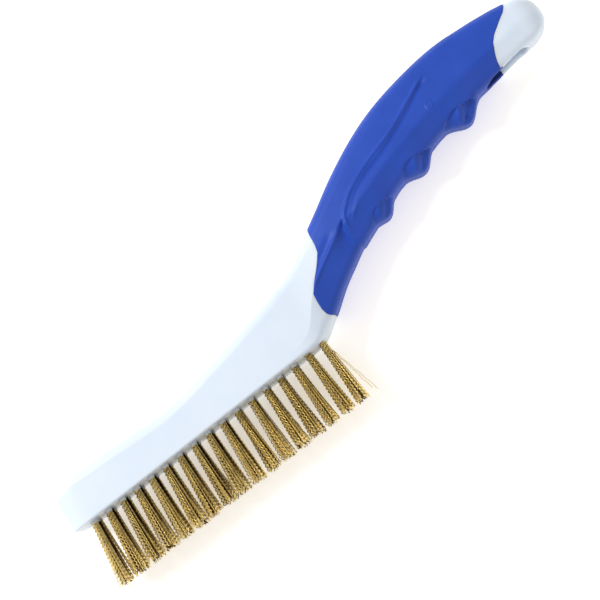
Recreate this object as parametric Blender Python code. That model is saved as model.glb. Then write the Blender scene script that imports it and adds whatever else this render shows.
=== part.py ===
"""Hand wire brush: one moulded handle with a soft over-moulded grip, and rows of brass wire tufts.

The brush lies on its side. +X runs from the head's nose to the tail, the bristles point to -Y, and
+Z is the thickness, from the side it lies on at Z = 0 to the side that faces up. The shape is first
worked out in design coordinates (mm): x = 0 at the head's front end of the bristle face, y = 0 on the
bristle face, z = 0 on the plane of symmetry. place() turns these into the part's own frame in metres.
"""

import math

import bmesh
import bpy
from mathutils import Vector

MM = 0.001
NAME = "wire_brush"

# Where the design's x and y zero lie, so that the part's origin is the centre of its footprint.
SHIFT_X = -129.0
SHIFT_Y = -19.4
HALF_THICKNESS = 11.0

# Points closer than this, in metres, are one point.
MERGE_DISTANCE = 0.00002

# The body's stations, from the head to the tail: the top point, the bottom point, the half width
# there, and how far the section is from the head's box (0) to the grip's egg (1).
STATIONS = [
    ((6.0, 20.4), (6.0, 0.0), 11.0, 0.0),
    ((27.0, 18.9), (27.0, 0.0), 11.0, 0.0),
    ((53.0, 17.5), (53.0, 0.0), 11.0, 0.0),
    ((78.0, 21.0), (80.0, 0.0), 11.0, 0.0),
    ((95.0, 23.9), (101.0, 0.0), 11.0, 0.0),
    ((110.0, 27.3), (117.5, 0.0), 11.0, 0.15),
    ((123.0, 31.4), (128.0, 5.3), 10.4, 0.5),
    ((135.0, 37.0), (139.5, 12.9), 10.0, 0.8),
    ((146.0, 42.8), (152.0, 19.2), 10.4, 1.0),
    ((159.0, 50.1), (166.0, 24.6), 11.0, 1.0),
    ((173.5, 56.9), (180.0, 29.6), 11.0, 1.0),
    ((188.0, 61.9), (194.0, 32.8), 11.0, 1.0),
    ((205.0, 65.1), (208.0, 36.0), 11.0, 1.0),
    ((222.5, 66.5), (222.0, 38.6), 11.0, 1.0),
    ((238.0, 65.2), (236.5, 40.3), 10.8, 0.9),
    ((248.5, 63.4), (247.0, 41.4), 10.4, 0.8),
    ((255.0, 61.9), (254.0, 42.3), 9.8, 0.8),
]

# A section's corners as (share of half width, share of height) and its corner radii in mm.
BOX_CORNERS = [(0.0, 0.0), (1.0, 0.0), (1.0, 0.5), (1.0, 1.0), (0.0, 1.0)]
BOX_RADII = [1.0, 1.4, 1.0, 5.0, 1.0]
EGG_CORNERS = [(0.0, 0.0), (0.64, 0.02), (1.0, 0.36), (0.72, 0.95), (0.0, 1.0)]
EGG_RADII = [12.0, 6.0, 5.0, 8.0, 12.0]
ARC_STEPS = 2
RUN_STEPS = 1
SMALLEST_TANGENT = 0.4
SHARPEST_HALF_ANGLE = 0.01

# The nose and the tail's end are rounded off over these lengths.
NOSE_LENGTH = 14.0
NOSE_HEIGHT = 8.0
NOSE_TOP_POWER = 2.2
NOSE_BOTTOM_POWER = 6.0
NOSE_PLAN_POWER = 2.6
TAIL_LENGTH = 11.5
TAIL_POWER = 2.1
CAP_STEPS = 5
LAST_CAP_SHARE = 0.995
SMALLEST_CAP = 0.12

# Finger nubs under the grip: distance along the body, height, reach towards the head, reach back.
NUBS = [(170.9, 2.5, 7.2, 7.4), (194.6, 3.6, 9.3, 9.2), (224.3, 5.2, 12.5, 11.3)]

# The grip's sleeve: its wall, how far it stands proud, and its ends, as the distance along the body
# at the section's bottom, at the pointed corner and at the top.
GAP = 0.3
SLEEVE_WALL = 1.9
SLEEVE_PROUD = 0.25
TYPICAL_HALF_WIDTH = 10.0
TYPICAL_HEIGHT = 24.0
FRONT_EDGE = [(0.0, 129.0), (0.2, 125.5), (0.42, 127.0), (0.6, 140.5), (1.0, 147.0)]
BACK_EDGE = [(0.0, 247.0), (0.2, 248.2), (0.42, 250.5), (0.62, 256.5), (1.0, 258.0)]
HEAD_STEP = 9.0
GRIP_STEP = 6.0
TAIL_STEP = 5.0

# Hang slot through the tail, from the bristle side to the back.
SLOT_START = (230.4, 39.4)
SLOT_END = (253.0, 42.0)
SLOT_WIDTH = 10.4
SLOT_REACH = 20.0
SLOT_LINING = 1.3
LINING_END_X = 239.8
SLOT_ARC_STEPS = 6
GUIDE_START = 200.0
LIMIT_BOX = 100.0

# Tufts: wire bundles folded over a flat anchor at the bottom of a blind hole.
ROWS = 3
COLUMNS = 17
ROW_SPACING = 3.9
TUFT_PITCH = 7.17
FIRST_TUFT_X = 2.4
HOLE_DEPTH = 11.0
HOLE_RUN_OUT = 1.0
ROOT_RADIUS = 1.35
TIP_RADIUS = 1.95
FREE_LENGTH = 27.5
ANCHOR_LENGTH = 4.4
ANCHOR_THICKNESS = 0.5
ANCHOR_HEIGHT = 2.0
FOLD_HEIGHT = 2.8
LEAN_FRONT_DEG = 7.0
LEAN_REAR_DEG = 2.0
SPLAY_DEG = 1.2
TUFT_SIDES = 8

WHITE_PLASTIC = ((0.86, 0.90, 0.95), 0.35, 0.0)
BLUE_RUBBER = ((0.035, 0.075, 0.45), 0.55, 0.0)
BRASS_WIRE = ((0.72, 0.50, 0.20), 0.35, 1.0)


def clear_scene():
    for item in list(bpy.data.objects):
        bpy.data.objects.remove(item, do_unlink=True)


def make_collection(name):
    found = bpy.data.collections.new(name)
    bpy.context.scene.collection.children.link(found)
    return found


def make_material(name, look):
    colour, roughness, metallic = look
    material = bpy.data.materials.new(name)
    material.use_nodes = True
    shader = material.node_tree.nodes["Principled BSDF"]
    shader.inputs["Base Color"].default_value = (*colour, 1.0)
    shader.inputs["Roughness"].default_value = roughness
    shader.inputs["Metallic"].default_value = metallic
    return material


def place(x, y, z):
    """A design point in mm as a point of the part in metres."""
    return Vector((x + SHIFT_X, y + SHIFT_Y, z + HALF_THICKNESS)) * MM


def new_object(name, points, faces, collection, material=None):
    mesh = bpy.data.meshes.new(name)
    mesh.from_pydata(points, [], faces)
    mesh.update()
    made = bpy.data.objects.new(name, mesh)
    collection.objects.link(made)
    if material is not None:
        mesh.materials.append(material)
    return made


def as_cutter(made):
    made.hide_render = True
    made.display_type = "WIRE"
    return made


def combine(target, other, operation):
    boolean = target.modifiers.new(operation.lower() + "_" + other.name, "BOOLEAN")
    boolean.object = other
    boolean.operation = operation
    boolean.solver = "EXACT"


# ---- the body's skin -------------------------------------------------------------------------


def blend(a, b, share):
    return a + (b - a) * share


def station_values():
    """The stations as rows of plain numbers, each led by its distance along the body."""
    rows, along, last = [], 0.0, None
    for top, bottom, half_width, egg in STATIONS:
        middle = (blend(top[0], bottom[0], 0.5), blend(top[1], bottom[1], 0.5))
        along = middle[0] if last is None else along + math.dist(middle, last)
        last = middle
        rows.append((along, *top, *bottom, half_width, egg))
    return rows


def slopes(rows, i):
    """How fast each value changes along the body at station i."""
    before, after = rows[max(i - 1, 0)], rows[min(i + 1, len(rows) - 1)]
    return [(b - a) / (after[0] - before[0]) for a, b in zip(before, after)]


def body_values(rows, along):
    """The top, bottom, half width and egg share at a distance along the body, by smooth curves."""
    along = min(max(along, rows[0][0]), rows[-1][0])
    i = max(k for k in range(len(rows) - 1) if rows[k][0] <= along)
    span = rows[i + 1][0] - rows[i][0]
    t = (along - rows[i][0]) / span
    start, end = slopes(rows, i), slopes(rows, i + 1)
    return [
        (2 * t**3 - 3 * t**2 + 1) * a + (t**3 - 2 * t**2 + t) * span * da
        + (3 * t**2 - 2 * t**3) * b + (t**3 - t**2) * span * db
        for a, b, da, db in zip(rows[i], rows[i + 1], start, end)
    ][1:]


def nub_height(along):
    """How far the finger nubs stand below the grip's lower line."""
    height = 0.0
    for centre, size, ahead, behind in NUBS:
        reach = ahead if along < centre else behind
        share = min(abs(along - centre) / reach, 1.0)
        height += size * 0.5 * (1.0 + math.cos(math.pi * share))
    return height


def round_corner(before, corner, after, radius):
    """The arc that rounds a corner, as ARC_STEPS + 1 points."""
    to_before, to_after = before - corner, after - corner
    room = 0.49 * min(to_before.length, to_after.length)
    half_angle = max(to_before.angle(to_after) / 2, SHARPEST_HALF_ANGLE)
    tangent = min(max(radius / math.tan(half_angle), SMALLEST_TANGENT), room)
    start = corner + to_before.normalized() * tangent
    end = corner + to_after.normalized() * tangent
    weight = math.sin(half_angle)
    points = []
    for k in range(ARC_STEPS + 1):
        t = k / ARC_STEPS
        a, b, c = (1 - t) ** 2, 2 * t * (1 - t) * weight, t * t
        points.append((start * a + corner * b + end * c) / (a + b + c))
    return points


def section(half_width, height, egg):
    """A closed section, counter-clockwise from its bottom centre, as (z, height) points."""
    corners, radii = [], []
    for box, oval, r_box, r_oval in zip(BOX_CORNERS, EGG_CORNERS, BOX_RADII, EGG_RADII):
        share = [blend(a, b, egg) for a, b in zip(box, oval)]
        corners.append(Vector((share[0] * half_width, share[1] * height)))
        radii.append(blend(r_box, r_oval, egg))
    inner = list(zip(corners, radii))[1:-1]
    mirrored = [(Vector((-c.x, c.y)), r) for c, r in reversed(inner)]
    loop = [(corners[0], radii[0]), *inner, (corners[-1], radii[-1]), *mirrored]
    points = []
    for i, (corner, radius) in enumerate(loop):
        before, after = loop[i - 1][0], loop[(i + 1) % len(loop)][0]
        points.append(round_corner(before, corner, after, radius))
    ring = []
    for i, arc in enumerate(points):
        following = points[(i + 1) % len(points)][0]
        ring += arc
        ring += [arc[-1].lerp(following, k / (RUN_STEPS + 1)) for k in range(1, RUN_STEPS + 1)]
    return ring


def inset_ring(ring, distance):
    moved = []
    for i, point in enumerate(ring):
        ahead, behind = i + 1, i - 1
        while (ring[ahead % len(ring)] - point).length < 1e-4:
            ahead += 1
        while (ring[behind] - point).length < 1e-4:
            behind -= 1
        tangent = ring[ahead % len(ring)] - ring[behind]
        inward = Vector((-tangent.y, tangent.x)).normalized()
        moved.append(point + inward * distance)
    return moved


def skin_point(rows, along, index, inset):
    """The design point of the skin at a distance along the body and a place around it."""
    top_x, top_y, low_x, low_y, half_width, egg = body_values(rows, along)
    top, low = Vector((top_x, top_y)), Vector((low_x, low_y))
    up = (top - low).normalized()
    low = low - up * nub_height(along)
    ring = inset_ring(section(half_width, (top - low).length, egg), inset)
    z, height = ring[index]
    return low.x + up.x * height, low.y + up.y * height, z


def edge_at(curve, share):
    """The sleeve's end at a share of the section's height: straight runs between its points."""
    for (low, a), (high, b) in zip(curve, curve[1:]):
        if share <= high:
            return blend(a, b, (share - low) / (high - low))
    return curve[-1][1]


def height_shares():
    """Each ring point's share of the section's height, on a typical section of the grip."""
    ring = section(TYPICAL_HALF_WIDTH, TYPICAL_HEIGHT, 1.0)
    return [point.y / TYPICAL_HEIGHT for point in ring]


def ring_between(rows, first, last, share, inset):
    """A ring of the skin whose distance along runs from one end curve to another."""
    return [
        skin_point(rows, blend(a, b, share), i, inset)
        for i, (a, b) in enumerate(zip(first, last))
    ]


def cap_ring(rows, along, share, height_mid, length, powers):
    """A ring of a rounded end: the section at that station, drawn in towards the end's tip."""
    top_x, top_y, low_x, low_y, half_width, egg = body_values(rows, along)
    top, low = Vector((top_x, top_y)), Vector((low_x, low_y))
    up = (top - low).normalized()
    reach = (top - low).length
    onward = Vector((up.y, -up.x)) * length * share
    top_power, low_power, plan_power = powers
    above = (reach - height_mid) * (1 - abs(share) ** top_power) ** (1 / top_power)
    below = height_mid * (1 - abs(share) ** low_power) ** (1 / low_power)
    width = half_width * (1 - abs(share) ** plan_power) ** (1 / plan_power)
    shape = section(max(width, SMALLEST_CAP), above + below, egg)
    base = low + up * (height_mid - below) + onward
    return [(base.x + up.x * p.y, base.y + up.y * p.y, p.x) for p in shape]


def nose_rings(rows):
    powers = (NOSE_TOP_POWER, NOSE_BOTTOM_POWER, NOSE_PLAN_POWER)
    shares = [math.sin(math.pi / 2 * k / CAP_STEPS) for k in range(1, CAP_STEPS)]
    shares.append(LAST_CAP_SHARE)
    return [
        cap_ring(rows, rows[0][0], -share, NOSE_HEIGHT, NOSE_LENGTH, powers)
        for share in reversed(shares)
    ]


def tail_rings(rows):
    powers = (TAIL_POWER, TAIL_POWER, TAIL_POWER)
    middle = math.dist(STATIONS[-1][0], STATIONS[-1][1]) / 2
    shares = [math.sin(math.pi / 2 * k / CAP_STEPS) for k in range(1, CAP_STEPS)]
    shares.append(LAST_CAP_SHARE)
    return [cap_ring(rows, rows[-1][0], share, middle, TAIL_LENGTH, powers) for share in shares]


def steps_between(start, end, step):
    count = max(2, math.ceil((end - start) / step))
    return [k / count for k in range(count + 1)]


def loft(name, rings, collection, material=None, closed=False):
    """Joins rings of design points into one closed body, capped at both ends unless it closes."""
    size = len(rings[0])
    points = [place(*p) for ring in rings for p in ring]
    faces = []
    pairs = list(zip(range(len(rings)), range(1, len(rings))))
    if closed:
        pairs.append((len(rings) - 1, 0))
    for a, b in pairs:
        for i in range(size):
            j = (i + 1) % size
            faces.append((a * size + i, b * size + i, b * size + j, a * size + j))
    if not closed:
        faces.append(tuple(range(size)))
        faces.append(tuple(reversed(range((len(rings) - 1) * size, len(rings) * size))))
    made = new_object(name, points, faces, collection, material)
    return clean(made)


def clean(made):
    """Merges doubled points and turns every face outwards."""
    work = bmesh.new()
    work.from_mesh(made.data)
    bmesh.ops.remove_doubles(work, verts=work.verts, dist=MERGE_DISTANCE)
    bmesh.ops.dissolve_degenerate(work, edges=work.edges, dist=MERGE_DISTANCE / 2)
    bmesh.ops.recalc_face_normals(work, faces=work.faces)
    if work.calc_volume(signed=True) < 0:
        bmesh.ops.reverse_faces(work, faces=work.faces)
    work.to_mesh(made.data)
    work.free()
    return made


def sleeve_ends():
    """The sleeve's two ends, as the distance along the body at each point around it."""
    shares = height_shares()
    return [edge_at(FRONT_EDGE, s) for s in shares], [edge_at(BACK_EDGE, s) for s in shares]


def sleeve_shares(front, back):
    """Where the sleeve's rings lie. The core's rings under it are the same, so that they nest."""
    return steps_between(min(front), max(back), GRIP_STEP)


def core_rings(rows):
    """The handle's rings: full size at the head and the tail, drawn in under the sleeve."""
    front, back = sleeve_ends()
    size = len(front)
    head = [rows[0][0]] * size
    tail = [rows[-1][0]] * size
    start = [a - GAP for a in front]
    end = [b + GAP for b in back]
    rings = nose_rings(rows)
    for share in steps_between(rows[0][0], min(front), HEAD_STEP):
        rings.append(ring_between(rows, head, start, share, 0.0))
    for share in sleeve_shares(front, back):
        rings.append(ring_between(rows, start, end, share, SLEEVE_WALL))
    for share in steps_between(min(back), rows[-1][0], TAIL_STEP):
        rings.append(ring_between(rows, end, tail, share, 0.0))
    return rings + tail_rings(rows)


def make_core(rows, collection, material):
    return loft("handle_core", core_rings(rows), collection, material)


def make_grip(rows, collection, material):
    """The soft sleeve: an outer and an inner skin, joined at both ends."""
    front, back = sleeve_ends()
    shares = sleeve_shares(front, back)
    outer = [ring_between(rows, front, back, s, -SLEEVE_PROUD) for s in shares]
    wall = SLEEVE_WALL - GAP
    inner = [ring_between(rows, front, back, s, wall) for s in reversed(shares)]
    return loft("grip", outer + inner, collection, material, closed=True)


# ---- the hang slot ---------------------------------------------------------------------------


def slot_prism(name, widen, collection):
    """A long round-ended prism along the slot, widened all round by the given amount."""
    start, end = Vector(SLOT_START), Vector(SLOT_END)
    along = (end - start).normalized()
    through = Vector((-along.y, along.x))
    radius = SLOT_WIDTH / 2 + widen
    centres = [end - along * SLOT_WIDTH / 2, start + along * SLOT_WIDTH / 2]
    outline = []
    for k, centre in enumerate(centres):
        for step in range(SLOT_ARC_STEPS + 1):
            angle = math.pi * (step / SLOT_ARC_STEPS + k) - math.pi / 2
            outline.append((centre + along * math.cos(angle) * radius, math.sin(angle) * radius))
    rings = []
    for reach in (-SLOT_REACH / 2, SLOT_REACH * 2):
        rings.append([(*(p + through * reach), z) for p, z in outline])
    return as_cutter(loft(name, rings, collection))


def half_space(name, limit_x, collection):
    """A box that holds everything ahead of a plane across the tail."""
    bpy.ops.mesh.primitive_cube_add(size=LIMIT_BOX * MM)
    box = bpy.context.object
    box.name = name
    box.location = place(limit_x - LIMIT_BOX / 2, SLOT_START[1], 0.0)
    for owner in list(box.users_collection):
        owner.objects.unlink(box)
    collection.objects.link(box)
    return as_cutter(box)


def plain_skin(rows, collection):
    """The body's outer shape without the step under the sleeve, to trim the lining to."""
    size = len(height_shares())
    head = [GUIDE_START] * size
    tail = [rows[-1][0]] * size
    shares = steps_between(head[0], tail[0], GRIP_STEP)
    rings = [ring_between(rows, head, tail, s, 0.0) for s in shares]
    return as_cutter(loft("skin_guide", rings + tail_rings(rows), collection))


def cut_slot(rows, core, grip, collection):
    """Cuts the slot, and lines its front part with the grip's rubber."""
    lining = slot_prism("slot_lining", SLOT_LINING, collection)
    combine(lining, plain_skin(rows, collection), "INTERSECT")
    combine(lining, half_space("lining_limit", LINING_END_X, collection), "INTERSECT")
    pocket = slot_prism("lining_pocket", SLOT_LINING + GAP, collection)
    combine(pocket, half_space("pocket_limit", LINING_END_X + GAP, collection), "INTERSECT")
    slot = slot_prism("hang_slot", 0.0, collection)
    combine(grip, lining, "UNION")
    combine(grip, slot, "DIFFERENCE")
    combine(core, pocket, "DIFFERENCE")
    combine(core, slot, "DIFFERENCE")


# ---- the tufts -------------------------------------------------------------------------------


def round_outline(radius):
    angles = [2 * math.pi * (k + 0.5) / TUFT_SIDES for k in range(TUFT_SIDES)]
    return [(radius * math.cos(a), radius * math.sin(a)) for a in angles]


def anchor_outline():
    """The anchor's long thin outline, with one point for each side of the round outline."""
    long, thin = ANCHOR_LENGTH / 2, ANCHOR_THICKNESS / 2
    return [
        (math.copysign(long if abs(x) > abs(z) else 0.5 * long, x), math.copysign(thin, z))
        for x, z in round_outline(1.0)
    ]


def pocket_outline():
    """The hole's outline at the bottom: round, and long enough for the anchor's ends."""
    long = ANCHOR_LENGTH / 2 + GAP
    return [
        (math.copysign(long, x) if abs(x) > abs(z) else x, z)
        for x, z in round_outline(ROOT_RADIUS + GAP)
    ]


def level(outline, x, y, z):
    """An outline laid at a height y of the design, around the axis at x and z."""
    return [(x + dx, y, z + dz) for dx, dz in outline]


def tuft_places():
    """Each tuft's row, column, x, z, lean towards the nose and splay to the side."""
    for row in range(ROWS):
        side = row - (ROWS - 1) / 2
        for column in range(COLUMNS):
            share = column / (COLUMNS - 1)
            lean = math.radians(blend(LEAN_FRONT_DEG, LEAN_REAR_DEG, share))
            x = FIRST_TUFT_X + column * TUFT_PITCH
            yield row, column, x, side * ROW_SPACING, lean, math.radians(side * SPLAY_DEG)


def make_tuft(row, column, x, z, lean, splay, collection, material):
    """One tuft: the anchor, the fold of the wires over it, and the bundle out to its tip."""
    floor = HOLE_DEPTH - GAP
    tip_x, tip_z = x - FREE_LENGTH * math.tan(lean), z + FREE_LENGTH * math.tan(splay)
    rings = [
        level(anchor_outline(), x, floor, z),
        level(anchor_outline(), x, floor - ANCHOR_HEIGHT, z),
        level(round_outline(ROOT_RADIUS), x, floor - FOLD_HEIGHT, z),
        level(round_outline(ROOT_RADIUS), x, 0.0, z),
        level(round_outline(TIP_RADIUS), tip_x, -FREE_LENGTH, tip_z),
    ]
    return loft(f"tuft_r{row + 1}_{column + 1:02d}", rings, collection, material)


def hole_rings(x, z):
    """A blind hole, with room at its bottom for the anchor, running out past the bristle face."""
    shoulder = HOLE_DEPTH - FOLD_HEIGHT - 2 * GAP
    bore = round_outline(ROOT_RADIUS + GAP)
    return [
        level(pocket_outline(), x, HOLE_DEPTH, z),
        level(pocket_outline(), x, shoulder, z),
        level(bore, x, shoulder - GAP, z),
        level(bore, x, -HOLE_RUN_OUT, z),
    ]


def make_holes(collection):
    """One cutter with every blind hole."""
    work = bmesh.new()
    for _, _, x, z, _, _ in tuft_places():
        piece = loft("hole", hole_rings(x, z), collection)
        work.from_mesh(piece.data)
        bpy.data.objects.remove(piece, do_unlink=True)
    mesh = bpy.data.meshes.new("tuft_holes")
    work.to_mesh(mesh)
    work.free()
    made = bpy.data.objects.new("tuft_holes", mesh)
    collection.objects.link(made)
    return as_cutter(made)


def main():
    clear_scene()
    parts = make_collection(NAME)
    cutters = make_collection("cutters")
    white = make_material("white_plastic", WHITE_PLASTIC)
    blue = make_material("blue_rubber", BLUE_RUBBER)
    brass = make_material("brass_wire", BRASS_WIRE)
    rows = station_values()
    core = make_core(rows, parts, white)
    grip = make_grip(rows, parts, blue)
    cut_slot(rows, core, grip, cutters)
    combine(core, make_holes(cutters), "DIFFERENCE")
    for tuft in tuft_places():
        make_tuft(*tuft, parts, brass)


main()
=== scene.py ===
"""The looks of the wire brush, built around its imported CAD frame.

The body is the same stations and sections as in the CAD, sampled finely, with the grip's relief
worked into the surface. Each tuft is a bundle of crimped wires standing out of its own hole.
Lengths here are in millimetres in the design's coordinates: x = 0 at the head's front end of the
bristle face, y = 0 on that face, z = 0 on the plane of symmetry. place() turns them into metres in
the frame.
"""

import math

import bmesh
import bpy
import numpy as np
from mathutils import Matrix, Vector
from mathutils.bvhtree import BVHTree


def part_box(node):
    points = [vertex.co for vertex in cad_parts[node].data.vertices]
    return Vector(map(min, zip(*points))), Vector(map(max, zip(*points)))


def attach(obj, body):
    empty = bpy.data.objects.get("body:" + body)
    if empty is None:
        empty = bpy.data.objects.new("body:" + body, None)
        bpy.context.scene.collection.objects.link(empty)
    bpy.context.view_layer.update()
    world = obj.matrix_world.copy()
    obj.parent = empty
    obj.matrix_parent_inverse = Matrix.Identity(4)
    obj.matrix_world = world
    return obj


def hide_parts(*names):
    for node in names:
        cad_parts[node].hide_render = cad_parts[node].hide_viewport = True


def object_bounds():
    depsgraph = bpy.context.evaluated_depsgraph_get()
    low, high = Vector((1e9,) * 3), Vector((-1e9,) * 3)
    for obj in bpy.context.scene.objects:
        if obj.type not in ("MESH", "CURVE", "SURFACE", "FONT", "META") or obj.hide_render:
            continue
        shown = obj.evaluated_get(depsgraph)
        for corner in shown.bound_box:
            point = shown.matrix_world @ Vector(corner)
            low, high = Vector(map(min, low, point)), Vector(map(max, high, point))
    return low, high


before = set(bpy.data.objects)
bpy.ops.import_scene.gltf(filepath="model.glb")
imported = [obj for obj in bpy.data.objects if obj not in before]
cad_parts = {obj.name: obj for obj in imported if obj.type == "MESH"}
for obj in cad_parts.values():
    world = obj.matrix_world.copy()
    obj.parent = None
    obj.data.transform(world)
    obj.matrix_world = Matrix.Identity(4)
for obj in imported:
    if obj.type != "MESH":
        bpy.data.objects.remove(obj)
cad_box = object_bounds()

MM = 0.001
BODY = "root"

# ---- driving dimensions, as in the CAD --------------------------------------------------------

# Along the body: the top's x and y, the bottom's x and y, half the width, and the kind of section.
STATIONS = [
    ((6.0, 20.4), (6.0, 0.0), 11.0, 0.0),
    ((27.0, 18.9), (27.0, 0.0), 11.0, 0.0),
    ((53.0, 17.5), (53.0, 0.0), 11.0, 0.0),
    ((78.0, 21.0), (80.0, 0.0), 11.0, 0.0),
    ((95.0, 23.9), (101.0, 0.0), 11.0, 0.0),
    ((110.0, 27.3), (117.5, 0.0), 11.0, 0.3),
    ((123.0, 31.4), (128.0, 5.3), 10.4, 0.9),
    ((135.0, 37.0), (139.5, 12.9), 10.0, 1.0),
    ((146.0, 42.8), (152.0, 19.2), 10.4, 1.05),
    ((159.0, 50.1), (166.0, 24.6), 11.0, 1.6),
    ((173.5, 56.9), (180.0, 29.6), 11.0, 1.85),
    ((188.0, 61.9), (194.0, 32.8), 11.0, 2.0),
    ((205.0, 65.1), (208.0, 36.0), 11.0, 2.0),
    ((222.5, 66.5), (222.0, 38.6), 11.0, 2.0),
    ((238.0, 65.2), (236.5, 40.3), 10.8, 2.2),
    ((248.5, 63.4), (247.0, 41.4), 10.4, 2.6),
    ((255.0, 61.9), (254.0, 42.3), 9.8, 3.0),
]

# Sections, from the bottom centre round one side to the top centre: (share of half width, share of
# height, corner radius). A station's kind picks between them: 0 box, 1 neck, 2 egg, 3 knob.
SECTIONS = [
    [(0.0, 0.0, 1.0), (1.0, 0.0, 0.9), (1.0, 0.10, 1.0), (1.0, 1.0, 5.0), (0.0, 1.0, 1.0)],
    [(0.0, 0.0, 9.0), (0.66, 0.01, 8.5), (1.0, 0.44, 1.3), (0.80, 0.96, 6.5), (0.0, 1.0, 12.0)],
    [(0.0, 0.0, 9.0), (0.62, 0.01, 7.5), (1.0, 0.31, 3.2), (0.74, 0.95, 8.0), (0.0, 1.0, 12.0)],
    [(0.0, 0.0, 9.0), (0.80, 0.01, 7.0), (1.0, 0.45, 9.0), (0.86, 0.985, 6.5), (0.0, 1.0, 12.0)],
]
CORNERS = 2 * len(SECTIONS[0]) - 2

# Steps round each corner, and points on each side between a half section's corners.
ARC_STEPS = 7
RUN_STEPS = [4, 28, 60, 6]
MAX_ARC_SHARE = 0.49
MIN_HALF_ANGLE = 0.01

# The rounded ends: their length, the height of the nose's widest level, and how square they are
# above, below and in plan.
NOSE_LENGTH, NOSE_HEIGHT = 14.0, 8.0
NOSE_POWERS = (2.2, 6.0, 2.6)
TAIL_LENGTH = 11.5
TAIL_POWERS = (2.1, 2.1, 2.1)
CAP_STEPS = 16
CAP_LAST_SHARES = [0.9985, 0.99999]

# Finger nubs: distance along the body, height, reach towards the head, reach towards the tail. The
# skin moves only up to a share of the section's height. Between the nubs it rises a little.
NUBS = [(170.9, 2.5, 7.2, 7.4), (194.6, 3.6, 9.3, 9.2), (224.3, 5.2, 12.5, 11.3)]
NUB_TOP_SHARE = 0.36
DIPS = [(181.8, 0.4, 7.0, 7.0), (207.8, 0.4, 8.0, 8.0)]

# The gap between sleeve and core, the sleeve's wall, and how far it stands above the core's skin.
GAP = 0.3
SLEEVE_WALL = 1.9
SLEEVE_PROUD = 0.18

# The sleeve's ends, as (share of the section's height, distance along the body), and where the
# sections stand that the shares are read on.
FRONT_EDGE = [(0.0, 126.8), (0.05, 125.5), (0.1, 124.9), (0.2, 125.0), (0.32, 126.0), (0.43, 127.4),
              (0.48, 131.6), (0.52, 135.6), (0.57, 139.0), (0.62, 141.4), (0.72, 143.0), (0.86, 144.4),
              (1.0, 146.0)]
BACK_EDGE = [(0.0, 247.2), (0.16, 247.4), (0.27, 248.3), (0.37, 249.5), (0.44, 250.1),
             (0.52, 252.2), (0.6, 255.1), (0.69, 257.7), (0.78, 260.0), (0.89, 262.0), (1.0, 263.0)]
FRONT_SAMPLE, BACK_SAMPLE = 136.0, 254.0
EDGE_SAMPLES, EDGE_SMOOTHING = 400, 13
EDGE_ROLL = 0.5
EDGE_GAP, EDGE_STEP_IN, AT_EDGE = 0.05, 0.15, 0.01

# Steps along the body from ring to ring, in each part of the skin.
HEAD_STEP, TAIL_STEP = 1.2, 0.6
SLEEVE_STEP, INNER_STEP = 0.5, 1.3

# The hang slot: its ends, its width, its lining's wall and where the lining stops, the points of
# its outline, and how steeply the outline runs from one rounded end to the other.
SLOT_START, SLOT_END = (230.4, 39.4), (253.0, 42.0)
SLOT_WIDTH = 10.4
SLOT_LINING = 1.3
LINING_END_X = 239.6
SLOT_POINTS = 72
SLOT_TURN = 6

# The lips round its mouths. The lower one grows just behind the slot's middle and falls off again
# towards the tail; where it does is given in cosines round the outline.
FRONT_LIP_RADIUS, MIDDLE_LIP_RADIUS, UPPER_LIP_RADIUS = 1.0, 1.9, 0.8
LIP_STEPS, LIP_START_DEG = 9, 78
LIP_ON, LIP_ON_RUN = 0.1, 0.22
LIP_OFF, LIP_OFF_RUN = 0.3, 0.6
LIP_CAST, LIP_FLARE, LIP_RISE = 0.75, 0.8, 0.98
MOUTH_WIDER, MOUTH_OUT = 0.6, 1.5

# The plain slot's two ends, a place inside the tail to look out from, and the reach where it finds
# nothing.
SLOT_REACHES = (-12, 40)
INSIDE_TAIL, MISSED_REACH = 11.0, 10.0
LIMIT_SIZE = 100.0
PLAIN_FROM, PLAIN_STEP = 205.0, 1.0
POCKET_GAP = 0.02

# Which of the grip's faces are the slot's walls, which get the painted shade: how far from its middle,
# and how they face.
LINED_FROM, LINED_ASIDE = -21.0, 0.3
ACROSS_LIMIT, INWARD_LIMIT = 0.5, 0.2

ROWS, COLUMNS = 3, 17
ROW_SPACING, TUFT_PITCH, FIRST_TUFT_X = 3.9, 7.17, 2.4
HOLE_DEPTH, HOLE_RADIUS, HOLE_CHAMFER = 11.0, 1.45, 0.12
HOLE_SIDES = 20
ABOVE_FACE, AT_FACE = 1.0, 0.01
ROOT_RADIUS = 1.35
FREE_LENGTH = 27.5
ANCHOR_LENGTH, ANCHOR_HEIGHT, ANCHOR_THICKNESS = 4.4, 2.0, 0.5
LEAN_FRONT_DEG, LEAN_REAR_DEG, SPLAY_DEG = 7.0, 2.0, 1.2

SHARP_DEG = 35
MERGE_DISTANCE = 0.000004
TINY = 1e-9

# ---- the frame --------------------------------------------------------------------------------

tuft_low, tuft_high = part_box("tuft_r2_01")
core_low, core_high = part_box("handle_core")
ORIGIN = Vector((
    tuft_high[0] / MM - FIRST_TUFT_X - ANCHOR_LENGTH / 2,
    tuft_low[1] / MM + FREE_LENGTH,
    (core_low[2] + core_high[2]) / 2 / MM,
))


def place(points):
    """Design points in mm as points of the frame in metres."""
    return (np.asarray(points, float) + np.array(ORIGIN)) * MM


# ---- the body's skin --------------------------------------------------------------------------


def blend(a, b, share):
    return a + (b - a) * share


def smooth(x):
    x = np.clip(x, 0.0, 1.0)
    return x * x * (3 - 2 * x)


def cubic(t, span, start, end, start_slope, end_slope):
    """A cubic curve between two values with given slopes, at t from 0 to 1 of the span."""
    return (
        (2 * t**3 - 3 * t**2 + 1) * start + (t**3 - 2 * t**2 + t) * span * start_slope
        + (3 * t**2 - 2 * t**3) * end + (t**3 - t**2) * span * end_slope
    )


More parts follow.
